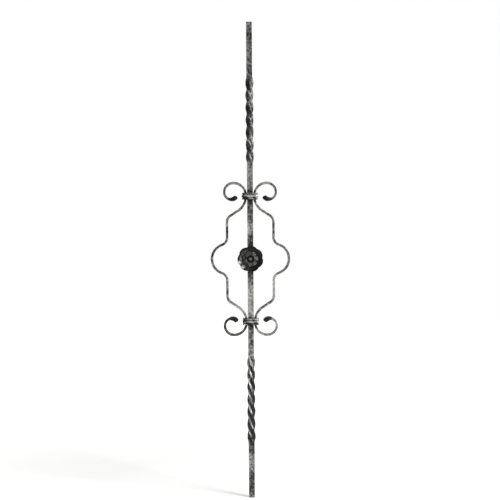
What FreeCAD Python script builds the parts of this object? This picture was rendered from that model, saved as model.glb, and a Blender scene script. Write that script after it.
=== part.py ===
import FreeCAD, Part
import math
import os

# Iron stair baluster: a twisted square bar with a basket of two bent flat bars at its middle,
# held by two ribbed collars, and a stamped flower on its front.
# Millimetres and degrees. The origin is the middle of the bottom end, +Z is up, the front faces -Y.

# Upright
height = 950.0
bar_side = 12.0
plain_end = 105.5
twist_length = 179.0
twist_quarter_turns = 7
twist_ease = 6.0
sections_per_quarter_turn = 3

# Scrolls: flat bars, bent alike above and below the middle of the basket
basket_above_middle = 1.5
strip_thickness = 5.0
strip_depth = 12.0
basket_width = 159.0
bulge_radius = 29.8
bulge_angle = 66.0
waist_width = 98.0
corner_radius = 15.0
flare_radius = 34.0
flare_angle = 57.0
seat_height = 126.2
seat_length = 2.0
curl_radii = [24.8, 18.5, 14.5]
curl_angles = [90.0, 90.0, 55.0]

# Swollen ends of the curls
tail_radius = 13.2
tail_angle = 92.0
tail_widest_at = 0.7
tail_depth = 21.0
tail_end_depth = 12.0
tail_thickness = 8.8
tail_end_thickness = 7.0
tail_spread_steps = 4
tail_round_steps = 3

# Collars
collar_below_seat = 0.7
collar_height = 13.0
collar_wall = 3.4
collar_clearance = 0.1
collar_seam = 0.8
collar_folds = 3
centre_rib_height = 5.0
centre_rib_rise = 1.8
edge_rib_height = 2.6
edge_rib_rise = 1.1
rib_slope = 0.7

# Flower
petal_count = 7
petal_sheet = 1.5
petal_slit = 0.8
flower_turn = -8.0
outer_tip_radius = 25.9
outer_notch_radius = 23.9
outer_slit_root = 17.0
outer_seat_radius = 7.6
outer_dish_radius = 26.6
outer_dish_bands = 3
inner_tip_radius = 15.8
inner_notch_radius = 14.6
inner_slit_root = 11.4
inner_seat_radius = 5.0
inner_crown_start = 8.4
inner_crown_end = 10.6
inner_crown_rise = 4.0
inner_tip_rise = 1.8
stud_shank_radius = 2.5
stud_clearance = 0.1
stud_facets = 8
stud_head_radii = [4.2, 3.8, 1.6]
stud_head_levels = [0.0, 1.5, 3.4]

basket_middle = height / 2 + basket_above_middle
collar_offset = seat_height - collar_below_seat
cut_margin = 1.0
Vector = FreeCAD.Vector
origin = Vector(0, 0, 0)
rightwards = Vector(1, 0, 0)
depthwise = Vector(0, 1, 0)
upwards = Vector(0, 0, 1)


def fuse_all(shapes):
    return shapes[0].multiFuse(shapes[1:]).removeSplitter()


def closed_polygon(points):
    return Part.makePolygon(points + points[:1])


def rectangle(centre, across, width, deep, depth):
    """Closed wire about a centre, as wide along one unit vector and as deep along the other."""
    a = across * (width / 2)
    b = deep * (depth / 2)
    return closed_polygon([centre + a + b, centre - a + b, centre - a - b, centre + a - b])


def flat_faced(rings, ends_closed):
    """Solid of flat faces between rings of corners; the ends are closed, or the last ring meets the first."""
    faces = [Part.Face(closed_polygon(ring)) for ring in (rings[0], rings[-1]) if ends_closed]
    following = rings[1:] if ends_closed else rings[1:] + rings[:1]
    for ring, after in zip(rings, following):
        for i in range(len(ring)):
            faces.append(Part.Face(closed_polygon([ring[i - 1], ring[i], after[i], after[i - 1]])))
    solid = Part.Solid(Part.Shell(faces))
    return solid if solid.Volume > 0 else solid.reversed()


def ring_of_corners(count, radius, z):
    """Corners of a regular polygon about +Z, one of them straight up the Y axis."""
    first = Vector(0, radius, z)
    return [FreeCAD.Rotation(upwards, 360.0 * i / count).multVec(first) for i in range(count)]


# Upright

def bar_section(z, turn):
    """The square bar's section at height z, turned about its axis."""
    section = rectangle(upwards * z, rightwards, bar_side, depthwise, bar_side)
    section.rotate(origin, upwards, turn)
    return section


def straight_length(bottom, top):
    return Part.Face(bar_section(bottom, 0)).extrude(upwards * (top - bottom))


def twist_turn(travel):
    """Degrees turned after a travel along the twist, at a steady rate that eases in and out."""
    whole = 90.0 * twist_quarter_turns
    rate = whole / (twist_length - twist_ease)
    left = twist_length - travel
    if travel < twist_ease:
        return rate * travel ** 2 / (2 * twist_ease)
    if left < twist_ease:
        return whole - rate * left ** 2 / (2 * twist_ease)
    return rate * (travel - twist_ease / 2)


def twisted_length(bottom):
    """Loft through turned sections; the ridges rise to the left, seen from any side."""
    count = twist_quarter_turns * sections_per_quarter_turn
    travels = [twist_length * step / count for step in range(count + 1)]
    sections = [bar_section(bottom + travel, -twist_turn(travel)) for travel in travels]
    return Part.makeLoft(sections, True)


def twisted_bar():
    lower_top = plain_end + twist_length
    upper_bottom = height - plain_end - twist_length
    upper_top = height - plain_end
    return fuse_all([
        straight_length(0, plain_end),
        twisted_length(plain_end),
        straight_length(lower_top, upper_bottom),
        twisted_length(upper_bottom),
        straight_length(upper_top, height),
    ])


# Scrolls

def ahead(heading):
    """Unit vector in the XZ plane along a heading, measured from +X towards +Z."""
    return Vector(math.cos(math.radians(heading)), 0, math.sin(math.radians(heading)))


def swing(point, centre, turn):
    """A point carried round a centre in the XZ plane, from +X towards +Z."""
    return centre + FreeCAD.Rotation(depthwise, -turn).multVec(point - centre)


def walk(point, heading, steps):
    """Tangent lines and arcs from a point and a heading, as edges, with the point and heading at their end.

    A step is (length, 0) for a line or (radius, turn) for an arc, and a positive turn goes left.
    """
    edges = []
    for size, turn in steps:
        if turn == 0:
            end = point + ahead(heading) * size
            edges.append(Part.LineSegment(point, end).toShape())
        else:
            centre = point + ahead(heading + math.copysign(90, turn)) * size
            end = swing(point, centre, turn)
            edges.append(Part.Arc(point, swing(point, centre, turn / 2), end).toShape())
        point = end
        heading += turn
    return edges, point, heading


def scroll_steps(bulge_x, waist_x, seat_x):
    """Steps from the outermost point of the basket up to the start of the swollen end."""
    bulge = math.radians(bulge_angle)
    flare = math.radians(flare_angle)
    bulge_bends = bulge_radius + corner_radius
    flare_bends = flare_radius + corner_radius
    bulge_run = (bulge_x - waist_x - bulge_bends * (1 - math.cos(bulge))) / math.sin(bulge)
    flare_run = (waist_x - seat_x - flare_bends * (1 - math.cos(flare))) / math.sin(flare)
    bulge_climb = bulge_bends * math.sin(bulge) + bulge_run * math.cos(bulge)
    flare_climb = flare_bends * math.sin(flare) + flare_run * math.cos(flare)
    waist_run = seat_height - seat_length / 2 - bulge_climb - flare_climb
    steps = [
        (bulge_radius, bulge_angle),
        (bulge_run, 0),
        (corner_radius, -bulge_angle),
        (waist_run, 0),
        (corner_radius, flare_angle),
        (flare_run, 0),
        (flare_radius, -flare_angle),
        (seat_length, 0),
    ]
    return steps + [(radius, -angle) for radius, angle in zip(curl_radii, curl_angles)]


def tail_stations():
    """Share of the tail's turn, depth and thickness: it swells to its widest place, then rounds off."""
    stations = []
    for step in range(tail_spread_steps + 1):
        share = step / tail_spread_steps
        swell = share * share * (3 - 2 * share)
        depth = strip_depth + (tail_depth - strip_depth) * swell
        thickness = strip_thickness + (tail_thickness - strip_thickness) * swell
        stations.append((tail_widest_at * share, depth, thickness))
    for step in range(1, tail_round_steps + 1):
        angle = math.radians(90 * step / tail_round_steps)
        share = tail_widest_at + (1 - tail_widest_at) * math.sin(angle)
        depth = tail_end_depth + (tail_depth - tail_end_depth) * math.cos(angle)
        thickness = tail_end_thickness + (tail_thickness - tail_end_thickness) * math.cos(angle)
        stations.append((share, depth, thickness))
    return stations


def tail(point, heading):
    """The swollen end, lofted in short facets round the last arc of the curl."""
    centre = point + ahead(heading - 90) * tail_radius
    sections = []
    for share, depth, thickness in tail_stations():
        turn = -tail_angle * share
        spot = swing(point, centre, turn)
        sections.append(rectangle(spot, ahead(heading + turn + 90), thickness, depthwise, depth))
    return Part.makeLoft(sections, True, True)


def half_scroll():
    """The right-hand scroll above the middle: a swept flat bar and its swollen end."""
    bulge_x = (basket_width - strip_thickness) / 2
    waist_x = (waist_width - strip_thickness) / 2
    seat_x = (bar_side + strip_thickness) / 2
    start = Vector(bulge_x, 0, basket_middle)
    edges, end, heading = walk(start, 90, scroll_steps(bulge_x, waist_x, seat_x))
    sweep = Part.BRepOffsetAPI.MakePipeShell(Part.Wire(edges))
    sweep.setBiNormalMode(depthwise)
    sweep.add(rectangle(start, rightwards, strip_thickness, depthwise, strip_depth))
    sweep.build()
    sweep.makeSolid()
    return sweep.shape().fuse(tail(end, heading))


def right_scroll():
    upper = half_scroll()
    return fuse_all([upper, upper.mirror(Vector(0, 0, basket_middle), upwards)])


# Collars

def stand_off(radius, travel):
    """How far an arc has left its tangent after a travel along that tangent."""
    return radius - math.sqrt(radius ** 2 - max(travel, 0) ** 2)


def folded_ring(half_width, half_depth, rise, z):
    """Corners of a strip that stands off a rectangle by a rise and is folded round it in short flats."""
    ring = []
    for quarter, (side_x, side_y) in enumerate(((1, 1), (-1, 1), (-1, -1), (1, -1))):
        corner = Vector(side_x * half_width, side_y * half_depth, z)
        for fold in range(collar_folds + 1):
            turn = 90 * quarter + 90 * fold / collar_folds
            ring.append(corner + FreeCAD.Rotation(upwards, turn).multVec(rightwards * rise))
    return ring


def rib_profile():
    """Level and rise of the ribbed outside, from the lower edge up: edge rib, centre rib, edge rib."""
    edge = collar_height / 2
    centre = centre_rib_height / 2
    lower = [
        (-edge, collar_wall),
        (-edge + rib_slope, collar_wall + edge_rib_rise),
        (-edge + edge_rib_height - rib_slope, collar_wall + edge_rib_rise),
        (-edge + edge_rib_height, collar_wall),
        (-centre, collar_wall),
        (-centre + rib_slope, collar_wall + centre_rib_rise),
    ]
    return lower + [(-level, rise) for level, rise in reversed(lower)]


def collar():
    """Ribbed strip folded round the upright and both scrolls, with its butt seam behind."""
    below_seat = seat_height - seat_length / 2 - (collar_offset - collar_height / 2)
    above_seat = collar_offset + collar_height / 2 - (seat_height + seat_length / 2)
    strip_lean = max(stand_off(flare_radius, below_seat), stand_off(curl_radii[0], above_seat))
    half_width = bar_side / 2 + strip_thickness + strip_lean + collar_clearance
    half_depth = max(bar_side, strip_depth) / 2
    lower_edge = upwards * (-collar_height / 2)
    outside = flat_faced([folded_ring(half_width, half_depth, rise, z) for z, rise in rib_profile()], True)
    hole = Part.Face(rectangle(lower_edge, rightwards, 2 * half_width, depthwise, 2 * half_depth))
    seam_reach = half_depth + collar_wall + max(centre_rib_rise, edge_rib_rise) + cut_margin
    seam_centre = lower_edge + depthwise * (seam_reach / 2)
    seam = Part.Face(rectangle(seam_centre, rightwards, collar_seam, depthwise, seam_reach))
    return outside.cut([face.extrude(upwards * collar_height) for face in (hole, seam)])


# Flower

def pressed_sheet(back):
    """Sheet round +Z, creased along and between its petals.

    back lists the radius and level of the sheet's rear face from the stud hole outwards.
    """
    front = [(radius, level + petal_sheet) for radius, level in reversed(back)]
    return flat_faced([ring_of_corners(2 * petal_count, *spot) for spot in back + front], False)


def cut_petals(sheet, tip_radius, notch_radius, slit_root):
    """Trims a sheet to round petals and slits it between them; one petal points straight up."""
    pitch = 360.0 / petal_count
    bottom = sheet.BoundBox.ZMin - cut_margin
    span = sheet.BoundBox.ZLength + 2 * cut_margin

    def rim_point(radius, angle):
        return FreeCAD.Rotation(upwards, angle).multVec(Vector(radius, 0, bottom))

    rim = []
    slits = []
    for petal in range(petal_count):
        tip = 90 + petal * pitch
        before = rim_point(notch_radius, tip - pitch / 2)
        after = rim_point(notch_radius, tip + pitch / 2)
        rim.append(Part.Arc(before, rim_point(tip_radius, tip), after).toShape())
        slit = Part.makeBox(
            tip_radius - slit_root, petal_slit, span, Vector(slit_root, -petal_slit / 2, bottom))
        slit.rotate(origin, upwards, tip + pitch / 2)
        slits.append(slit)
    blank = Part.Face(Part.Wire(rim)).extrude(upwards * span)
    return sheet.common(blank).cut(slits).removeSplitter()


def outer_petals():
    """Flat seat on the upright, then petals dished forwards in bands that follow a parabola."""
    reach = outer_tip_radius + cut_margin - outer_seat_radius
    back = [(stud_shank_radius + stud_clearance, 0)]
    for band in range(outer_dish_bands + 1):
        out = reach * band / outer_dish_bands
        back.append((outer_seat_radius + out, out ** 2 / (2 * outer_dish_radius)))
    petals = cut_petals(pressed_sheet(back), outer_tip_radius, outer_notch_radius, outer_slit_root)
    petals.rotate(origin, upwards, flower_turn)
    return petals


def inner_petals():
    """Sunk seat for the stud, a steep wall round it and petals that fall back over the outer ones."""
    slope = (inner_crown_rise - inner_tip_rise) / (inner_tip_radius - inner_crown_end)
    back = [
        (stud_shank_radius + stud_clearance, 0),
        (inner_seat_radius, 0),
        (inner_crown_start, inner_crown_rise),
        (inner_crown_end, inner_crown_rise),
        (inner_tip_radius + cut_margin, inner_tip_rise - slope * cut_margin),
    ]
    petals = cut_petals(pressed_sheet(back), inner_tip_radius, inner_notch_radius, inner_slit_root)
    petals.rotate(origin, upwards, flower_turn + 180.0 / petal_count)
    return petals


def stud():
    """Shank through both sheets down to the upright, under a head hammered to facets."""
    seat = 2 * petal_sheet
    tiers = zip(stud_head_radii, stud_head_levels)
    head = flat_faced([ring_of_corners(stud_facets, radius, seat + level) for radius, level in tiers], True)
    return Part.makeCylinder(stud_shank_radius, seat).fuse(head)


def on_front(shape, lift):
    """Turns a shape made about +Z to face the front and sets it on the upright amid the basket."""
    placed = shape.copy()
    placed.rotate(origin, rightwards, 90)
    placed.translate(Vector(0, -bar_side / 2 - lift, basket_middle))
    return placed


right = right_scroll()
ring = collar()
parts = {
    "twisted_bar": twisted_bar(),
    "left_scroll": right.mirror(origin, rightwards),
    "right_scroll": right,
    "upper_collar": ring.translated(upwards * (basket_middle + collar_offset)),
    "lower_collar": ring.translated(upwards * (basket_middle - collar_offset)),
    "flower_outer_petals": on_front(outer_petals(), 0),
    "flower_inner_petals": on_front(inner_petals(), petal_sheet),
    "flower_stud": on_front(stud(), 0),
}

os.makedirs("parts", exist_ok=True)
for name, shape in parts.items():
    shape.exportStep("parts/" + name + ".step")
    print(name, shape.isValid(), len(shape.Solids), round(shape.Volume))
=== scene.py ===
import math

import bpy
import numpy as np
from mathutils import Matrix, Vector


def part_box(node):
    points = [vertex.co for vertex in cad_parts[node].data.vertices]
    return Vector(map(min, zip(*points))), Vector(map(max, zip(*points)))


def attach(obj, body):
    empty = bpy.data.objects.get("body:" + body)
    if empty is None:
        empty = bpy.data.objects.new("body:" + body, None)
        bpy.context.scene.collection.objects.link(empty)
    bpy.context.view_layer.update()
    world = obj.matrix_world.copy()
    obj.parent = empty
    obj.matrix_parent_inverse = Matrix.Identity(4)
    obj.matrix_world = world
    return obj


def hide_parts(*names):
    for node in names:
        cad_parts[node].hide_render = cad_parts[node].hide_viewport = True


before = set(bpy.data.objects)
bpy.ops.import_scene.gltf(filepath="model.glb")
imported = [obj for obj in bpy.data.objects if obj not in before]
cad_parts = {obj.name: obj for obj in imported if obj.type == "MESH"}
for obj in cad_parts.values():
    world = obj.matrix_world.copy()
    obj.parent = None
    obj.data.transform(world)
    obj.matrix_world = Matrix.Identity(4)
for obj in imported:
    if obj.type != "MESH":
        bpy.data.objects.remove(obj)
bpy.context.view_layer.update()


# Upright: one length of 12 mm square iron bar, hammered over its faces and edges, then twisted hot
# in two places. Its plain ends go into the tread below and the handrail above.

bar_side = 0.012
bar_edge_round = 0.0006
plain_end = 0.1055
twist_length = 0.179
twist_ease = 0.006
twist_quarter_turns = 7
bar_flat_steps = 12
bar_edge_steps = 4
bar_rows = 840
bar_mark_pitch = 0.0062
bar_mark_depth = 0.00024
bar_mark_seed = 11
nick_pitch = 0.011
bar_nick_depth = 0.0005
bar_nick_seed = 12
edge_reach = 0.0013


def rounded_outline(steps_a, steps_b, steps_round):
    """Rounded rectangle in unit form, counter-clockwise from the start of its +a side.

    A point of it is core times (half size less radius) plus normal times radius: the core runs along
    each side and waits at the corner, where the normal turns through a quarter.
    """
    corners = np.array([(1, -1), (1, 1), (-1, 1), (-1, -1)], float)
    cores = []
    turns = []
    for side in range(4):
        steps = steps_a if side % 2 else steps_b
        share = np.arange(steps)[:, None] / steps
        end = corners[(side + 1) % 4]
        cores += [corners[side] + (end - corners[side]) * share, np.tile(end, (steps_round, 1))]
        turns += [np.full(steps, side), side + np.arange(steps_round) / steps_round]
    turn = np.concatenate(turns) * math.pi / 2
    return np.concatenate(cores), np.stack([np.cos(turn), np.sin(turn)], axis=1)


def girth_places(core, normal, half, radius):
    """Distance of each outline point round the section from the first one, and the whole way round."""
    outline = core * (half - radius) + normal * radius
    runs = np.linalg.norm(np.roll(outline, -1, axis=0) - outline, axis=1)
    return np.cumsum(runs) - runs, runs.sum()


def near_edge(core, half, radius, reach):
    """1 on a rounded edge, falling away over the flats by the bell curve of the distance to it."""
    distance = ((1 - np.abs(core)) * (half - radius)).sum(axis=1)
    return np.exp(-(distance / reach) ** 2)[None]


def hammer_marks(around, along, pitch, girth, seed):
    """Height of hammered metal: 0 in the middle of a mark, 1 on the ridges where marks meet.

    Every square of a grid of that pitch holds one blow at a random place. The height is the squared
    distance to the nearest blow, in squares, and the grid closes on itself round the girth.
    """
    margin = 2
    cells = max(round(girth / pitch), 1)
    a = around[None] / girth * cells
    s = along[:, None] / pitch + margin
    cell_a = np.floor(a).astype(int)
    cell_s = np.floor(s).astype(int)
    blows = np.random.default_rng(seed).random((cells, cell_s.max() + margin + 1, 2))
    nearest = np.ones(np.broadcast_shapes(a.shape, s.shape))
    for step_a in (-1, 0, 1):
        for step_s in (-1, 0, 1):
            blow = blows[(cell_a + step_a) % cells, cell_s + step_s]
            off_a = cell_a + step_a + blow[..., 0] - a
            off_s = cell_s + step_s + blow[..., 1] - s
            nearest = np.minimum(nearest, off_a ** 2 + off_s ** 2)
    return nearest


def edge_nicks(around, along, girth, edges, seed):
    """Nicks in the edges: the cube of how near a stray blow fell, 1 where it fell right on an edge."""
    return (1 - hammer_marks(around, along, nick_pitch, girth, seed)) ** 3 * edges


def carried(path, across, deep, core, normal, half, radius, push):
    """Points of an outline carried along a path: path plus across and deep by the outline's two sides.

    The half sizes hold one pair for each row, and push moves each point along its own normal.
    """
    inner = core[None] * (half - radius)[:, None, :]
    spread = inner + normal[None] * (radius + push)[..., None]
    return path[:, None] + across[:, None] * spread[..., :1] + deep[:, None] * spread[..., 1:]


def end_inset(distance, radius):
    """How far a section draws in at a rounded end: the gap between a square end and a quarter circle."""
    short = np.clip(radius - distance, 0, radius)
    return radius - np.sqrt(radius ** 2 - short ** 2)


def tube_faces(rows, columns):
    """Quads between neighbouring rows, closed round each row, and a fan over each end."""
    index = np.arange(rows * columns).reshape(rows, columns)
    after = np.roll(index, -1, axis=1)
    quads = np.stack([index[:-1], after[:-1], after[1:], index[1:]], axis=-1).reshape(-1, 4)
    first = np.stack([np.full(columns, rows * columns), after[0], index[0]], axis=-1)
    last = np.stack([np.full(columns, rows * columns + 1), index[-1], after[-1]], axis=-1)
    return quads.tolist() + first.tolist() + last.tolist()


def with_end_centres(grid):
    """The grid's points or values as one list, followed by the mean of its first and of its last row."""
    flat = grid.reshape(-1, *grid.shape[2:])
    return np.concatenate([flat, grid[:1].mean(axis=1), grid[-1:].mean(axis=1)])


def smooth_step(value):
    """0 below 0, 1 above 1, and an S-curve of zero slope at both ends between."""
    share = np.clip(value, 0, 1)
    return share * share * (3 - 2 * share)


def linear(hex_colour):
    """Linear red, green, blue and 1 from an sRGB hex colour, by the sRGB curve."""
    srgb = np.array([int(hex_colour[i:i + 2], 16) / 255 for i in (1, 3, 5)])
    return (*np.where(srgb <= 0.04045, srgb / 12.92, ((srgb + 0.055) / 1.055) ** 2.4), 1)


def add_node(tree, kind, inputs, **settings):
    """Adds a node, sets its properties and fills its inputs with values or with other nodes' outputs."""
    node = tree.nodes.new(kind)
    for name, value in settings.items():
        setattr(node, name, value)
    for name, value in inputs.items():
        if isinstance(value, bpy.types.NodeSocket):
            tree.links.new(value, node.inputs[name])
        else:
            node.inputs[name].default_value = value
    return node


def rubbed_iron(name, black, silver, start, full, polish):
    """Wrought iron in black paint with silver paste wiped over its high places.

    The rub attribute says how hard a place was wiped, and it also carries the painted light and shade
    that some pieces add to it. Patches of 30 mm and specks of 4.5 mm shift it, and between start and
    full the black gives way to silver: dull black below, a broken satin gleam above, as rough as polish
    says. Grit of 0.7 mm breaks the gloss of both.
    """
    patch_size = 0.030
    patch_shift = 0.7
    speck_size = 0.0045
    speck_shift = 0.85
    cloud_detail = 2.0
    grit_size = 0.0007
    grit_depth = 0.00008
    grit_strength = 0.6
    silver_metallic = 0.6
    black_roughness = 0.55
    paint_specular = 0.15
    material = bpy.data.materials.new(name)
    material.use_nodes = True
    tree = material.node_tree
    tree.nodes.clear()
    place = add_node(tree, "ShaderNodeTexCoord", {}).outputs["Object"]
    rub_and_light = add_node(tree, "ShaderNodeAttribute", {}, attribute_name="rub_and_light").outputs["Fac"]
    patches = add_node(
        tree, "ShaderNodeTexNoise", {"Vector": place, "Scale": 1 / patch_size, "Detail": cloud_detail})
    specks = add_node(
        tree, "ShaderNodeTexNoise", {"Vector": place, "Scale": 1 / speck_size, "Detail": cloud_detail})
    grit = add_node(tree, "ShaderNodeTexNoise", {"Vector": place, "Scale": 1 / grit_size})
    patched = add_node(
        tree, "ShaderNodeMath", {0: patches.outputs["Fac"], 1: patch_shift, 2: rub_and_light},
        operation="MULTIPLY_ADD").outputs[0]
    specked = add_node(
        tree, "ShaderNodeMath", {0: specks.outputs["Fac"], 1: speck_shift, 2: patched},
        operation="MULTIPLY_ADD").outputs[0]
    middle = (patch_shift + speck_shift) / 2
    worn = add_node(
        tree, "ShaderNodeMapRange", {"Value": specked, "From Min": start + middle, "From Max": full + middle},
        interpolation_type="SMOOTHSTEP").outputs["Result"]
    colour = add_node(
        tree, "ShaderNodeMix", {"Factor": worn, 6: linear(black), 7: linear(silver)}, data_type="RGBA")
    gleam = add_node(tree, "ShaderNodeMapRange", {"Value": worn, "To Max": silver_metallic})
    rough = add_node(
        tree, "ShaderNodeMapRange", {"Value": worn, "To Min": black_roughness, "To Max": polish})
    bump = add_node(
        tree, "ShaderNodeBump",
        {"Height": grit.outputs["Fac"], "Strength": grit_strength, "Distance": grit_depth})
    surface = add_node(tree, "ShaderNodeBsdfPrincipled", {
        "Base Color": colour.outputs[2],
        "Metallic": gleam.outputs["Result"],
        "Roughness": rough.outputs["Result"],
        "Specular IOR Level": paint_specular,
        "Normal": bump.outputs["Normal"],
    })
    add_node(tree, "ShaderNodeOutputMaterial", {"Surface": surface.outputs["BSDF"]})
    return material


def iron_piece(name, points, faces, rub_and_light, material):
    """A smooth-shaded mesh object with its rub attribute, riding on the baluster."""
    mesh = bpy.data.meshes.new(name)
    mesh.from_pydata(points.tolist(), [], faces)
    mesh.attributes.new("rub_and_light", "FLOAT", "POINT").data.foreach_set("value", rub_and_light.astype(np.float32))
    mesh.polygons.foreach_set("use_smooth", np.ones(len(mesh.polygons), bool))
    mesh.materials.append(material)
    piece = bpy.data.objects.new(name, mesh)
    bpy.context.collection.objects.link(piece)
    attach(piece, "root")
    return piece


def twist_turn(travel):
    """Radians turned after a travel along a twist: a steady rate that eases in and out by parabolas."""
    whole = twist_quarter_turns * math.pi / 2
    rate = whole / (twist_length - twist_ease)
    travel = np.clip(travel, 0, twist_length)
    left = twist_length - travel
    steady = rate * (travel - twist_ease / 2)
    ending = np.where(left < twist_ease, whole - rate * left ** 2 / (2 * twist_ease), steady)
    return np.where(travel < twist_ease, rate * travel ** 2 / (2 * twist_ease), ending)


def stretch_sum(along, stretches):
    """Sum of stretches, each given as its place, its reach both ways and its amount.

    A stretch holds its amount near its place and fades by the fourth power of the distance in reaches.
    Callers use them for wiped silver, for painted shade and for painted glints.
    """
    return sum(amount * np.exp(-((along - place) / reach) ** 4) for place, reach, amount in stretches)


def faced(turn, core, sideways):
    """How squarely each point of a turned outline looks to the front or the back, 1 where it does fully.

    It is the squared sine of the point's angle round the bar from the right, with sideways added to it.
    """
    return np.sin(turn[:, None] + np.arctan2(core[:, 1], core[:, 0]) + sideways) ** 2


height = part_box("twisted_bar")[1].z
basket_middle = (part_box("right_scroll")[0].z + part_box("right_scroll")[1].z) / 2
end_rows = bar_edge_round * (1 - np.cos(np.linspace(0, math.pi / 2, bar_edge_steps)[:-1]))
bar_z = np.concatenate([
    end_rows, np.linspace(bar_edge_round, height - bar_edge_round, bar_rows), height - end_rows[::-1]])
bar_half = np.array([bar_side, bar_side]) / 2
bar_core, bar_normal = rounded_outline(bar_flat_steps, bar_flat_steps, bar_edge_steps)
bar_around, bar_girth = girth_places(bar_core, bar_normal, bar_half, bar_edge_round)
bar_edges = near_edge(bar_core, bar_half, bar_edge_round, edge_reach)
bar_relief = hammer_marks(bar_around, bar_z, bar_mark_pitch, bar_girth, bar_mark_seed)
bar_nicks = edge_nicks(bar_around, bar_z, bar_girth, bar_edges, bar_nick_seed)
lower_travel = bar_z - plain_end
upper_travel = bar_z - (height - plain_end - twist_length)
bar_turn = -twist_turn(lower_travel) - twist_turn(upper_travel)
bar_zero = np.zeros_like(bar_z)
bar_grid = carried(
    np.stack([bar_zero, bar_zero, bar_z], axis=1),
    np.stack([np.cos(bar_turn), np.sin(bar_turn), bar_zero], axis=1),
    np.stack([-np.sin(bar_turn), np.cos(bar_turn), bar_zero], axis=1),
    bar_core,
    bar_normal,
    bar_half - end_inset(np.minimum(bar_z, height - bar_z), bar_edge_round)[:, None],
    bar_edge_round,
    -bar_mark_depth * (1 - bar_relief) * (1 - bar_edges) - bar_nick_depth * bar_nicks,
)

# The silver was wiped on by hand, harder below the flower. The bar is painted darker beside the flower
# and the collars, as painted shade where they shadow it, and lighter along its left edge, as a painted
# highlight where the light from the left catches it. Places are measured from the middle of the basket.
bar_silver = 0.35
bar_mark_silver = 0.2
bar_left_highlight = 0.12
bar_wipes_and_shade = [
    (0.4735, 0.0025, -0.3),
    (0.42, 0.06, -0.06),
    (0.160, 0.030, 0.09),
    # painted shade beside the upper collar
    (0.1255, 0.013, -0.3),
    (0.095, 0.022, -0.12),
    (0.055, 0.022, 0.06),
    # painted shade beside and behind the flower
    (-0.008, 0.036, -0.3),
    (-0.078, 0.045, 0.20),
    # painted shade beside the lower collar
    (-0.1255, 0.013, -0.3),
    (-0.160, 0.030, 0.06),
    (-0.203, 0.012, 0.14),
    (-0.272, 0.014, 0.10),
    (-0.337, 0.034, -0.14),
    (-0.371, 0.016, -0.16),
    (-0.405, 0.018, 0.07),
    (-0.452, 0.026, -0.06),
]
bar_rub_and_light = bar_silver + bar_mark_silver * bar_relief + stretch_sum(bar_z - basket_middle, bar_wipes_and_shade)[:, None]

# On the twists the silver is on the ridges, most where they face the front and the back, turned a little
# to one side: a painted highlight where the light catches the ridges. The faces between the ridges are
# darker, partly the black left in the hollows and partly painted shade on the flanks turned from the light.
twist_fade = 0.012
plain = 1
for travel, ridge_reach, sideways, ridge_silver_and_highlight, hollow_black_and_shade in (
    (lower_travel, 0.0021, math.radians(15), 1.2, 0.26),
    (upper_travel, 0.0034, math.radians(-45), 0.45, 0.2),
):
    in_twist = smooth_step(np.minimum(travel, twist_length - travel) / twist_fade)[:, None]
    ridges = near_edge(bar_core, bar_half, bar_edge_round, ridge_reach) * (1 - bar_nicks)
    # Painted highlight: the ridges facing the front and back, turned a little to one side, get the most
    # silver.
    ridges = ridges * faced(bar_turn, bar_core, sideways)
    bar_rub_and_light = bar_rub_and_light + in_twist * (ridge_silver_and_highlight * ridges - hollow_black_and_shade)
    plain = plain - in_twist
# Painted highlight: the plain lengths are lighter towards the left edge, where the left light catches them.
bar_rub_and_light = bar_rub_and_light + bar_left_highlight * smooth_step(-bar_grid[..., 0] / bar_half[0]) * plain

bar_iron = rubbed_iron(
    "hammered_bar_iron", black="#1a1a1c", silver="#bcbcb9", start=0.15, full=1.0, polish=0.42)
upright = iron_piece(
    "upright", with_end_centres(bar_grid), tube_faces(*bar_grid.shape[:2]), with_end_centres(bar_rub_and_light),
    bar_iron)
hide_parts("twisted_bar")


# Scrolls: two flat bars, 12 by 5 mm, bent round the same former to the two halves of the basket.
# Their ends are curled outwards and upset to thick rounded tails, and the collars clamp them on.

strip_thickness = 0.005
strip_depth = 0.012
strip_edge_round = 0.0009
basket_width = 0.159
bulge_radius = 0.0298
bulge_angle = math.radians(66)
waist_width = 0.098
corner_radius = 0.015
flare_radius = 0.034
flare_angle = math.radians(57)
seat_height = 0.1262
seat_length = 0.002
curl_bends = [(0.0248, math.radians(90)), (0.0185, math.radians(90)), (0.0145, math.radians(55))]
tail_radius = 0.0132
tail_angle = math.radians(92)
tail_widest_at = 0.7
tail_depth = 0.021
tail_end_depth = 0.012
tail_thickness = 0.0088
tail_end_thickness = 0.007
tail_end_round = 0.0022
strip_row_step = 0.0009
strip_thickness_steps = 5
strip_depth_steps = 11
strip_edge_steps = 4
strip_mark_pitch = 0.0058
strip_mark_depth = 0.0002
strip_nick_depth = 0.0004


def basket_steps():
    """Lines (length, 0) and arcs (radius, turn) from the basket's outermost point to the curl's end."""
    bulge_bends = bulge_radius + corner_radius
    flare_bends = flare_radius + corner_radius
    waist_x = (waist_width - strip_thickness) / 2
    seat_x = (bar_side + strip_thickness) / 2
    bulge_reach = (basket_width - waist_width) / 2 - bulge_bends * (1 - math.cos(bulge_angle))
    flare_reach = waist_x - seat_x - flare_bends * (1 - math.cos(flare_angle))
    bulge_run = bulge_reach / math.sin(bulge_angle)
    flare_run = flare_reach / math.sin(flare_angle)
    bulge_climb = bulge_bends * math.sin(bulge_angle) + bulge_run * math.cos(bulge_angle)
    flare_climb = flare_bends * math.sin(flare_angle) + flare_run * math.cos(flare_angle)
    waist_run = seat_height - seat_length / 2 - bulge_climb - flare_climb
    return [
        (bulge_radius, bulge_angle),
        (bulge_run, 0),
        (corner_radius, -bulge_angle),
        (waist_run, 0),
        (corner_radius, flare_angle),
        (flare_run, 0),
        (flare_radius, -flare_angle),
        (seat_length, 0),
    ] + [(radius, -turn) for radius, turn in curl_bends] + [(tail_radius, -tail_angle)]


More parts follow.
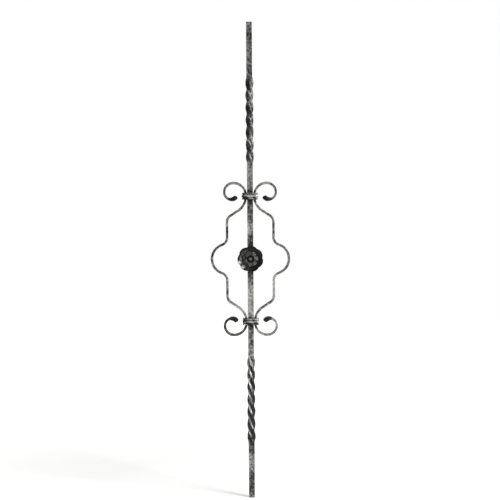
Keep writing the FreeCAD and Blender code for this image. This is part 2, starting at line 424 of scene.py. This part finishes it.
def bent_path(steps, row_step):
    """Distance, x, z and heading along lines and arcs that start upwards from 0, 0.

    The heading grows evenly along each arc, and x and z are the running sums of its cosine and sine
    over many small steps.
    """
    small_steps = 20000
    sizes = np.array(steps)
    runs = np.where(sizes[:, 1] == 0, sizes[:, 0], sizes[:, 0] * np.abs(sizes[:, 1]))
    knots = np.concatenate([[0], np.cumsum(runs)])
    fine = np.linspace(0, knots[-1], small_steps)
    heading = np.interp(fine, knots, math.pi / 2 + np.concatenate([[0], np.cumsum(sizes[:, 1])]))
    between = (heading[1:] + heading[:-1]) / 2
    x = np.concatenate([[0], np.cumsum(np.cos(between))]) * fine[1]
    z = np.concatenate([[0], np.cumsum(np.sin(between))]) * fine[1]
    rows = np.linspace(0, knots[-1], round(knots[-1] / row_step))
    return rows, np.interp(rows, fine, x), np.interp(rows, fine, z), np.interp(rows, fine, heading)


half_run, half_x, half_z, half_heading = bent_path(basket_steps(), strip_row_step)
strip_run = np.concatenate([-half_run[:0:-1], half_run])
strip_x = (basket_width - strip_thickness) / 2 + np.concatenate([half_x[:0:-1], half_x])
strip_z = np.concatenate([-half_z[:0:-1], half_z])
strip_heading = np.concatenate([math.pi - half_heading[:0:-1], half_heading])
to_end = half_run[-1] - np.abs(strip_run)
tail_share = np.clip(1 - to_end / (tail_radius * tail_angle), 0, 1)
swell = smooth_step(tail_share / tail_widest_at)
closing = 1 - np.sqrt(1 - np.clip((tail_share - tail_widest_at) / (1 - tail_widest_at), 0, 1) ** 2)
strip_sizes = np.array([strip_thickness, strip_depth])
tail_sizes = np.array([tail_thickness, tail_depth])
tail_end_sizes = np.array([tail_end_thickness, tail_end_depth])
strip_half = strip_sizes + (tail_sizes - strip_sizes) * swell[:, None]
strip_half -= (tail_sizes - tail_end_sizes) * closing[:, None]
strip_half = strip_half / 2 - end_inset(to_end, tail_end_round)[:, None]
strip_core, strip_normal = rounded_outline(strip_thickness_steps, strip_depth_steps, strip_edge_steps)
strip_around, strip_girth = girth_places(strip_core, strip_normal, strip_sizes / 2, strip_edge_round)
strip_edges = near_edge(strip_core, strip_sizes / 2, strip_edge_round, edge_reach)

# The silver is uneven along both scrolls. The thick tails are painted near black, partly the black left
# on them and partly painted shade on their sides turned from the light, and the strips are painted
# darker beside the collars, as painted shade where the collars shadow them. Places are measured along
# the scroll from the outermost point of its bulge, upwards.
scroll_silver = 0.38
scroll_mark_silver = 0.3
tail_black_and_shade = 1.2
painted_collar_shade = 0.3
collar_shade_reach = 0.012
collar_shade_within = 0.020
collar_shade_fade = 0.008
left_stretches = [
    (0.175, 0.022, 0.14),
    (0.105, 0.018, 0.06),
    (0.072, 0.020, -0.08),
    (-0.072, 0.030, 0.1),
    (-0.132, 0.025, 0.26),
    (-0.230, 0.012, -0.3),
]
right_stretches = [
    (0.210, 0.032, 0.2),
    (0.135, 0.020, 0.1),
    (0, 0.030, 0.12),
    (-0.062, 0.030, 0.26),
    (-0.192, 0.045, 0.17),
]
# Painted shade: darker at the collars' height where the strips run close to the upright.
collar_shade_share = np.exp(-((np.abs(strip_z) - seat_height) / collar_shade_reach) ** 4)
collar_shade_share = collar_shade_share * smooth_step((collar_shade_within - strip_x) / collar_shade_fade)
scroll_iron = rubbed_iron(
    "hammered_scroll_iron", black="#131315", silver="#b4b4b1", start=0.2, full=1.0, polish=0.42)

for name, node, side, seed, stretches in (
    ("scroll_left", "left_scroll", -1, 21, left_stretches),
    ("scroll_right", "right_scroll", 1, 31, right_stretches),
):
    along = strip_run + half_run[-1]
    relief = hammer_marks(strip_around, along, strip_mark_pitch, strip_girth, seed)
    nicks = edge_nicks(strip_around, along, strip_girth, strip_edges, seed + 1)
    heading = strip_heading if side > 0 else math.pi - strip_heading
    zero = np.zeros_like(heading)
    grid = carried(
        np.stack([side * strip_x, zero, strip_z + basket_middle], axis=1),
        np.stack([np.sin(heading), zero, -np.cos(heading)], axis=1),
        np.stack([zero, zero + 1, zero], axis=1),
        strip_core,
        strip_normal,
        strip_half,
        strip_edge_round,
        -strip_mark_depth * (1 - relief) * (1 - strip_edges) - strip_nick_depth * nicks,
    )
    # The tails and the strips beside the collars are painted darker, partly as painted shade.
    lengthwise = stretch_sum(strip_run, stretches) - tail_black_and_shade * swell - painted_collar_shade * collar_shade_share
    rub_and_light = scroll_silver + scroll_mark_silver * relief + lengthwise[:, None]
    scroll = iron_piece(
        name, with_end_centres(grid), tube_faces(*grid.shape[:2]), with_end_centres(rub_and_light),
        scroll_iron)
    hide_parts(node)


# Collars: ribbed strip folded tight round the upright and both scrolls, closed by a butt seam behind.
# The centre rib stands highest, between two grooves and two slimmer ribs along the edges. Silver lies
# on the ribs in uneven waves, and the left end is painted dark, as painted shade on the end turned
# from the light.

collar_wall = 0.0034
collar_seam = 0.0008
collar_inner_round = 0.0003
centre_rib_height = 0.005
centre_rib_rise = 0.0018
edge_rib_height = 0.0026
edge_rib_rise = 0.0011
rib_steps = 12
wall_steps = 4
inside_steps = 6
collar_across_steps = 24
collar_deep_steps = 12
collar_round_steps = 12
collar_wave = 0.00025
wave_laps = (2, 3, 5, 7)
wave_slants = (0.9, 1.6, 2.5, 1.4)
wave_from = 0.5
collar_silver = 0.42
rib_silver = 0.35
wave_silver = 0.5
left_end_shade = 0.8
left_end_from = 0.0122
left_end_fade = 0.003


def rib_arc(centre, rib_height, rise):
    """Rise over the wall and level of a half-round rib, from its lower edge to its upper one."""
    turn = np.linspace(0, math.pi, rib_steps)
    return np.stack([rise * np.sin(turn), centre - rib_height / 2 * np.cos(turn)], axis=1)


def strip_profile(collar_height):
    """Closed outline of the ribbed strip as rise and level.

    It goes up the three ribs, in over the top, down the flat inside and out below, and is then turned
    round, so that the faces of the folded strip point outwards.
    """
    edge = (collar_height - edge_rib_height) / 2
    ribs = np.concatenate([
        rib_arc(-edge, edge_rib_height, edge_rib_rise),
        rib_arc(0, centre_rib_height, centre_rib_rise),
        rib_arc(edge, edge_rib_height, edge_rib_rise),
    ])
    top = np.linspace(1, 0, wall_steps + 1)[1:, None] * (collar_wall, 0) + (0, collar_height / 2)
    inside = np.linspace(1, -1, inside_steps + 1)[1:, None] * (0, collar_height / 2)
    bottom = np.linspace(0, 1, wall_steps + 1)[1:-1, None] * (collar_wall, 0) - (0, collar_height / 2)
    return np.concatenate([ribs + (collar_wall, 0), top, inside, bottom])[::-1]


def open_ring(hole):
    """The rounded outline of the hole, cut open at the middle of its back by the width of the seam."""
    core, normal = rounded_outline(collar_across_steps, collar_deep_steps, collar_round_steps)
    back_middle = collar_deep_steps + collar_round_steps + collar_across_steps // 2
    order = np.append(np.roll(np.arange(len(core)), -back_middle), back_middle)
    core = core[order]
    core[[0, -1], 0] = np.array([-0.5, 0.5]) * collar_seam / hole[0]
    return core, normal[order]


collar_iron = rubbed_iron(
    "ribbed_collar_iron", black="#161617", silver="#bcbcb9", start=0.3, full=1.1, polish=0.38)

for name, node, seed in (("collar_upper", "upper_collar", 41), ("collar_lower", "lower_collar", 42)):
    low, high = (np.array(corner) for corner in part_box(node))
    profile = strip_profile(high[2] - low[2])
    hole = (high - low)[:2] / 2 - collar_wall - centre_rib_rise - collar_inner_round
    core, normal = open_ring(hole)
    phase = np.random.default_rng(seed).random(len(wave_laps)) * 2 * math.pi
    lap = np.linspace(0, 2 * math.pi, len(core))[:, None, None]
    slant = profile[None, :, 1:] / centre_rib_height
    uneven = np.sin(lap * wave_laps + slant * wave_slants + phase).mean(axis=2)
    outside = np.clip(profile[None, :, 0] / collar_wall - wave_from, 0, 1)
    rise = profile[None, :, 0] + collar_wave * (uneven - 1) * outside + collar_inner_round
    level = np.broadcast_to(profile[:, 1] + (low[2] + high[2]) / 2, rise.shape)
    plan = core[:, None] * hole + normal[:, None] * rise[..., None]
    grid = np.concatenate([plan, level[..., None]], axis=2)
    high_places = np.clip((profile[None, :, 0] - collar_wall) / centre_rib_rise, 0, 1)
    # Painted shade on the collar's left end, turned from the light.
    left_end_shade_share = smooth_step((-grid[..., 0] - left_end_from) / left_end_fade)
    rub_and_light = collar_silver + rib_silver * high_places + wave_silver * uneven - left_end_shade * left_end_shade_share
    collar = iron_piece(
        name, with_end_centres(grid), tube_faces(*grid.shape[:2]), with_end_centres(rub_and_light),
        collar_iron)
    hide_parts(node)


# Flower petals: two discs stamped from 1.5 mm sheet, slit into petals and pressed to shape.
# The outer one is dished forwards, the inner one rises round a sunk centre and falls back at its tips.

petal_count = 7
petal_half = math.pi / petal_count
petal_sheet = 0.0015
petal_slit = 0.00006
stud_hole = 0.0026
first_petal = math.radians(82)
petal_steps = 18
slit_steps = 3
sheet_rows = 30
sheet_row_spread = 0.8
rim_rows = 6
petal_wobble = 0.0003
outer_tip = 0.0259
outer_notch = 0.0239
outer_slit_root = 0.017
outer_seat = 0.0076
outer_dish = 0.0285
outer_crown = 0.0011
outer_crown_grows_over = 0.010
outer_crown_fades_over = 0.008
outer_crown_left_at_tip = 0.16
outer_vein = 0.0004
outer_vein_width = 0.12
inner_tip = 0.0158
inner_notch = 0.0146
inner_slit_root = 0.0114
inner_seat = 0.005
inner_crown_start = 0.0090
inner_crown_end = 0.0100
inner_crown_rise = 0.0034
inner_tip_drop = 0.0016
inner_crown = 0.0004
inner_crown_grows_over = 0.005
inner_vein = 0.0002
inner_vein_width = 0.15


def rim_radius(off, tip, notch):
    """Radius of a petal's round rim: the circle through its tip and both notches, from the disc's centre."""
    centre = (tip ** 2 - notch ** 2) / (2 * (tip - notch * math.cos(petal_half)))
    return centre * np.cos(off) + np.sqrt((tip - centre) ** 2 - (centre * np.sin(off)) ** 2)


def petal_columns(turn):
    """Angle off its petal's middle, angle on the disc and openness of each column, closest at the slits.

    The openness is 0 in the middle of a slit, where the column ends at the slit's root, and 1 beside it.
    """
    slit_half = petal_slit / 2 / outer_tip
    slit = petal_half - slit_half * np.linspace(0, 1, slit_steps + 1)
    between = np.linspace(-1, 1, petal_steps + 1)[1:-1] * slit[-1]
    off = np.concatenate([-slit, between, slit[:0:-1]])
    angle = off + 2 * petal_half * np.arange(petal_count)[:, None] + first_petal + turn
    opening = np.clip((petal_half - np.abs(off)) / slit_half, 0, 1)
    return np.tile(off, petal_count), angle.ravel(), np.tile(opening, petal_count)


def petal_skin(tip, notch, slit_root, level, turn, seed):
    """Closed skin of a petal disc: out along the back, round the rim and in along the front.

    level gives the height of the sheet's middle from the radius and the share of the way off a petal's
    middle. Returns radius, angle, that share, height, and the side from -1 at the back to 1 in front.
    """
    off, angle, opening = petal_columns(turn)
    rim = slit_root + (rim_radius(off, tip, notch) - slit_root) * opening - petal_sheet / 2
    share = np.linspace(0, 1, sheet_rows) ** sheet_row_spread
    rim_turn = np.linspace(-math.pi / 2, math.pi / 2, rim_rows + 2)[1:-1]
    reach = np.concatenate([share, np.ones(rim_rows), share[::-1]])[:, None]
    bulge = np.pad(np.cos(rim_turn), sheet_rows)[:, None] * petal_sheet / 2
    side = np.concatenate([-np.ones(sheet_rows), np.sin(rim_turn), np.ones(sheet_rows)])[:, None]
    flat_radius = stud_hole + (rim - stud_hole) * reach
    bent = np.random.default_rng(seed).uniform(-1, 1, petal_count).repeat(len(off) // petal_count)
    wobble = petal_wobble * bent * smooth_step((flat_radius - slit_root) / (tip - slit_root))
    height_of_skin = level(flat_radius, off / petal_half) + wobble + side * petal_sheet / 2
    return flat_radius + bulge, angle, off / petal_half, height_of_skin, side


def dished(radius, off):
    """Flat seat, then a parabola forwards; each petal is crowned, with a shallow vein along its middle."""
    out = np.clip(radius - outer_seat, 0, None)
    to_tip = (outer_tip - radius) / outer_crown_fades_over + outer_crown_left_at_tip
    crown = outer_crown * (1 - off ** 2) - outer_vein * np.exp(-(off / outer_vein_width) ** 2)
    crown = crown * smooth_step(out / outer_crown_grows_over) * smooth_step(to_tip)
    return petal_sheet / 2 + out ** 2 / (2 * outer_dish) + crown


def raised(radius, off):
    """Sunk flat seat, a steep S-curve up to the crown, then a parabola down to the tips.

    Each petal is crowned a little, with a shallow vein along its middle.
    """
    out = radius - inner_seat
    climb = smooth_step(out / (inner_crown_start - inner_seat))
    fall = np.clip((radius - inner_crown_end) / (inner_tip - inner_crown_end), 0, None) ** 2
    crown = inner_crown * (1 - off ** 2) - inner_vein * np.exp(-(off / inner_vein_width) ** 2)
    crown = crown * smooth_step(out / inner_crown_grows_over)
    return petal_sheet / 2 + inner_crown_rise * climb - inner_tip_drop * fall + crown


def on_front(radius, angle, lift):
    """Points in the baluster's frame of a form about the flower's axis, which points to the front."""
    x = radius * np.cos(angle)
    z = radius * np.sin(angle) + basket_middle
    return np.stack([x, -bar_side / 2 - lift, z], axis=-1)


def ring_faces(rows, columns):
    """Quads of a grid that closes on itself both ways."""
    index = np.arange(rows * columns).reshape(rows, columns)
    after = np.roll(index, -1, axis=1)
    quads = np.stack([index, after, np.roll(after, -1, axis=0), np.roll(index, -1, axis=0)], axis=-1)
    return quads.reshape(-1, 4).tolist()


flower_iron = rubbed_iron(
    "stamped_flower_iron", black="#080809", silver="#c8c8c5", start=0.3, full=1.75, polish=0.3)

# The outer petals have a faint wipe on their fronts, least at the rim. It is painted lighter to the
# left and at the top and bottom and darker to the right, as painted light and shade on the sides of
# the dish that face and turn from the light, and two petals carry painted glints near their tips.
outer_silver = 0.25
outer_left_light = 0.9
outer_top_and_bottom_light = 0.6
outer_side_black = 0.2
rim_black = 0.7
rim_from = 0.80
rim_fade = 0.10
glint_at = 0.88
glint_reach = 0.07
glint_petals = [(math.radians(196), 0.13, 1.2), (math.radians(228), 0.15, 1.2)]
radius, angle, off, lift, side = petal_skin(
    outer_tip, outer_notch, outer_slit_root, dished, turn=0, seed=51)
outer_grid = on_front(radius, angle, lift)
# Painted light and shade: lighter to the left, top and bottom, darker to the right.
lit_to_left = 1 - outer_left_light * np.cos(angle) + outer_top_and_bottom_light * np.sin(angle) ** 2
outer_rim = smooth_step((radius / outer_tip - rim_from) / rim_fade)
faint = outer_silver * lit_to_left * (1 - outer_side_black * off ** 2) * (1 - rim_black * outer_rim)
# Painted glints near the tips of two petals.
painted_glint = stretch_sum(angle, glint_petals) * np.exp(-((radius / outer_tip - glint_at) / glint_reach) ** 2)
outer_rub_and_light = (faint + painted_glint) * np.clip(side, 0, 1)
petals_outer = iron_piece(
    "petals_outer", outer_grid.reshape(-1, 3), ring_faces(*outer_grid.shape[:2]), outer_rub_and_light.ravel(),
    flower_iron)
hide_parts("flower_outer_petals")

# The inner petals are wiped on their fronts outside the sunk seat, which stays black, partly the black
# left in the hollow and partly painted shade in it. They are painted lighter to the right, as a painted
# highlight on the side of the crown that faces the light.
inner_silver = 0.5
inner_right_light = 0.3
inner_side_black = 0.3
inner_seat_fade = 0.003
radius, angle, off, lift, side = petal_skin(
    inner_tip, inner_notch, inner_slit_root, raised, turn=petal_half, seed=52)
inner_grid = on_front(radius, angle, petal_sheet + lift)
# The sunk seat stays black, partly the black left in the hollow and partly painted shade.
inner_front = np.clip(side, 0, 1) * smooth_step((radius - inner_seat) / inner_seat_fade)
# Painted highlight, lighter to the right.
lit_to_right = 1 + inner_right_light * np.cos(angle)
inner_rub_and_light = inner_silver * lit_to_right * (1 - inner_side_black * off ** 2) * inner_front
petals_inner = iron_piece(
    "petals_inner", inner_grid.reshape(-1, 3), ring_faces(*inner_grid.shape[:2]), inner_rub_and_light.ravel(),
    flower_iron)
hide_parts("flower_inner_petals")


# Flower stud: a short iron pin through both discs, welded to the upright.
# Its head is pressed to a cluster of beads, one in the middle of a ring of six.

stud_shank_radius = 0.0025
stud_head_radius = 0.0042
stud_head_rise = 0.0034
dome_overhang = 1.02
dome_drop = 0.0008
bead_radius = 0.0013
bead_ring = 0.0026
bead_count = 6
bead_ring_drop = 0.0004
stud_columns = 72
stud_rows = 40
innermost_row = 0.02
stud_silver = 0.75


def beaded_head(x, y):
    """Height of the head: a low dome, or the tallest of the half-sunk balls that stand on it."""
    reach = np.clip(1 - (x ** 2 + y ** 2) / (dome_overhang * stud_head_radius) ** 2, 0, 1)
    dome = (stud_head_rise - dome_drop) * np.sqrt(reach)
    turn = np.arange(bead_count) * 2 * math.pi / bead_count
    bead_x = np.append(bead_ring * np.cos(turn), 0)
    bead_y = np.append(bead_ring * np.sin(turn), 0)
    bead_z = stud_head_rise - bead_radius - np.append(np.full(bead_count, bead_ring_drop), 0)
    gap = (x[..., None] - bead_x) ** 2 + (y[..., None] - bead_y) ** 2
    balls = bead_z + np.sqrt(np.clip(bead_radius ** 2 - gap, 0, None))
    return np.maximum(dome, np.where(gap < bead_radius ** 2, balls, 0).max(axis=-1))


stud_angle = np.arange(stud_columns) * 2 * math.pi / stud_columns
head_seat = 2 * petal_sheet
head_radius = stud_head_radius * np.linspace(1, innermost_row, stud_rows)[:, None]
head_lift = head_seat + beaded_head(head_radius * np.cos(stud_angle), head_radius * np.sin(stud_angle))
shank_radius = np.array([stud_shank_radius, stud_shank_radius, stud_head_radius])[:, None]
shank_lift = np.array([0, head_seat, head_seat])[:, None] + 0 * stud_angle
stud_lift = np.concatenate([shank_lift, head_lift])
stud_grid = on_front(np.concatenate([shank_radius, head_radius]), stud_angle, stud_lift)
stud_rub = stud_silver * np.clip((stud_lift - head_seat) / stud_head_rise, 0, 1) ** 2
stud = iron_piece(
    "stud_head", with_end_centres(stud_grid), tube_faces(*stud_grid.shape[:2]), with_end_centres(stud_rub),
    flower_iron)
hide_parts("flower_stud")


# Floor: a matt white studio floor. Near the baluster it is lit and takes its shadow, and further out
# it glows to the same white as the background.

floor_half = 4.0
shadow_reach = 0.35
white_from = 1.3
glow_in_shadow = 0.42
floor_mesh = bpy.data.meshes.new("floor")
floor_corners = floor_half * np.array([(-1, -1, 0), (1, -1, 0), (1, 1, 0), (-1, 1, 0)])
floor_mesh.from_pydata(floor_corners.tolist(), [], [(0, 1, 2, 3)])
floor = bpy.data.objects.new("floor", floor_mesh)
bpy.context.collection.objects.link(floor)

floor_paint = bpy.data.materials.new("matt_white_floor_paint")
floor_paint.use_nodes = True
floor_tree = floor_paint.node_tree
floor_tree.nodes.clear()
floor_place = add_node(floor_tree, "ShaderNodeTexCoord", {}).outputs["Object"]
floor_out = add_node(
    floor_tree, "ShaderNodeVectorMath", {0: floor_place}, operation="LENGTH").outputs["Value"]
floor_glow = add_node(floor_tree, "ShaderNodeMapRange", {
    "Value": floor_out,
    "From Min": shadow_reach,
    "From Max": white_from,
    "To Min": glow_in_shadow,
    "To Max": 1.0,
}).outputs["Result"]
floor_ray = add_node(floor_tree, "ShaderNodeLightPath", {}).outputs
floor_seen = add_node(
    floor_tree, "ShaderNodeMath", {0: floor_ray["Is Camera Ray"], 1: floor_ray["Is Glossy Ray"]},
    operation="MAXIMUM").outputs[0]
floor_seen = add_node(
    floor_tree, "ShaderNodeMath", {0: floor_seen, 1: floor_ray["Is Transmission Ray"]},
    operation="MAXIMUM").outputs[0]
floor_strength = add_node(
    floor_tree, "ShaderNodeMath", {0: floor_seen, 1: floor_glow}, operation="MULTIPLY").outputs[0]
floor_matt = add_node(floor_tree, "ShaderNodeBsdfDiffuse", {"Color": linear("#f4f4f2")}).outputs[0]
floor_white = add_node(floor_tree, "ShaderNodeEmission", {"Strength": floor_strength}).outputs[0]
floor_surface = add_node(floor_tree, "ShaderNodeAddShader", {0: floor_matt, 1: floor_white}).outputs[0]
add_node(floor_tree, "ShaderNodeOutputMaterial", {"Surface": floor_surface})
floor_mesh.materials.append(floor_paint)


# Background and light: a white studio behind the baluster, dimmer round the camera, with a large soft
# light from the upper right and a weak one from the left.

studio_light = 0.22
mirrored_in_front = 0.3
front_from = -0.6
back_from = 0.4
world = bpy.data.worlds.new("white_studio")
world.use_nodes = True
world_tree = world.node_tree
world_tree.nodes.clear()
world_ray = add_node(world_tree, "ShaderNodeLightPath", {}).outputs
world_way = add_node(world_tree, "ShaderNodeTexCoord", {}).outputs["Generated"]
world_back = add_node(world_tree, "ShaderNodeSeparateXYZ", {"Vector": world_way}).outputs["Y"]
world_mirrored = add_node(world_tree, "ShaderNodeMapRange", {
    "Value": world_back,
    "From Min": front_from,
    "From Max": back_from,
    "To Min": mirrored_in_front,
    "To Max": 1.0,
}).outputs["Result"]
world_level = add_node(
    world_tree, "ShaderNodeMix",
    {"Factor": world_ray["Is Glossy Ray"], "A": studio_light, "B": world_mirrored}).outputs["Result"]
world_seen = add_node(
    world_tree, "ShaderNodeMath", {0: world_ray["Is Camera Ray"], 1: world_ray["Is Transmission Ray"]},
    operation="MAXIMUM").outputs[0]
world_level = add_node(
    world_tree, "ShaderNodeMix", {"Factor": world_seen, "A": world_level, "B": 1.0}).outputs["Result"]
world_white = add_node(
    world_tree, "ShaderNodeBackground", {"Color": (1, 1, 1, 1), "Strength": world_level}).outputs[0]
add_node(world_tree, "ShaderNodeOutputWorld", {"Surface": world_white})
bpy.context.scene.world = world

for name, place, aim, wide, tall, power, spread in (
    ("key_light", (1.25, -0.75, 1.2), 0.55, 0.6, 0.8, 32, 180),
    ("fill_light", (-0.9, -0.9, 0.25), 0.12, 0.3, 0.2, 0.9, 60),
):
    lamp = bpy.data.lights.new(name, "AREA")
    lamp.shape = "RECTANGLE"
    lamp.size = wide
    lamp.size_y = tall
    lamp.energy = power
    lamp.spread = math.radians(spread)
    light = bpy.data.objects.new(name, lamp)
    light.location = place
    tilt = math.atan2(math.hypot(place[0], place[1]), place[2] - aim)
    light.rotation_euler = (tilt, 0, math.atan2(-place[1], -place[0]) - math.pi / 2)
    bpy.context.collection.objects.link(light)


# Camera: level with the basket and square to it, rolled a little, because the baluster leans in the
# photograph. Its lens shows 500 pixels of the photograph's scale at the baluster's distance, and the
# middle of the upright stands a few pixels from the middle of the picture.

camera_distance = 1.6
photo_pixels = 500
metres_per_pixel = 0.0020027
middle_pixels_right = 0.45
middle_pixels_below = 9.6
camera_roll = math.radians(0.379)
lens = bpy.data.cameras.new("camera")
lens.sensor_width = 36
lens.lens = lens.sensor_width * camera_distance / (photo_pixels * metres_per_pixel)
camera = bpy.data.objects.new("camera", lens)
right = -middle_pixels_right * metres_per_pixel
up = middle_pixels_below * metres_per_pixel
camera.location = (
    right * math.cos(camera_roll) + up * math.sin(camera_roll),
    -camera_distance,
    height / 2 - right * math.sin(camera_roll) + up * math.cos(camera_roll),
)
camera.rotation_euler = (math.pi / 2, camera_roll, 0)
bpy.context.collection.objects.link(camera)
bpy.context.scene.camera = camera
bpy.context.scene.view_settings.view_transform = "Standard"
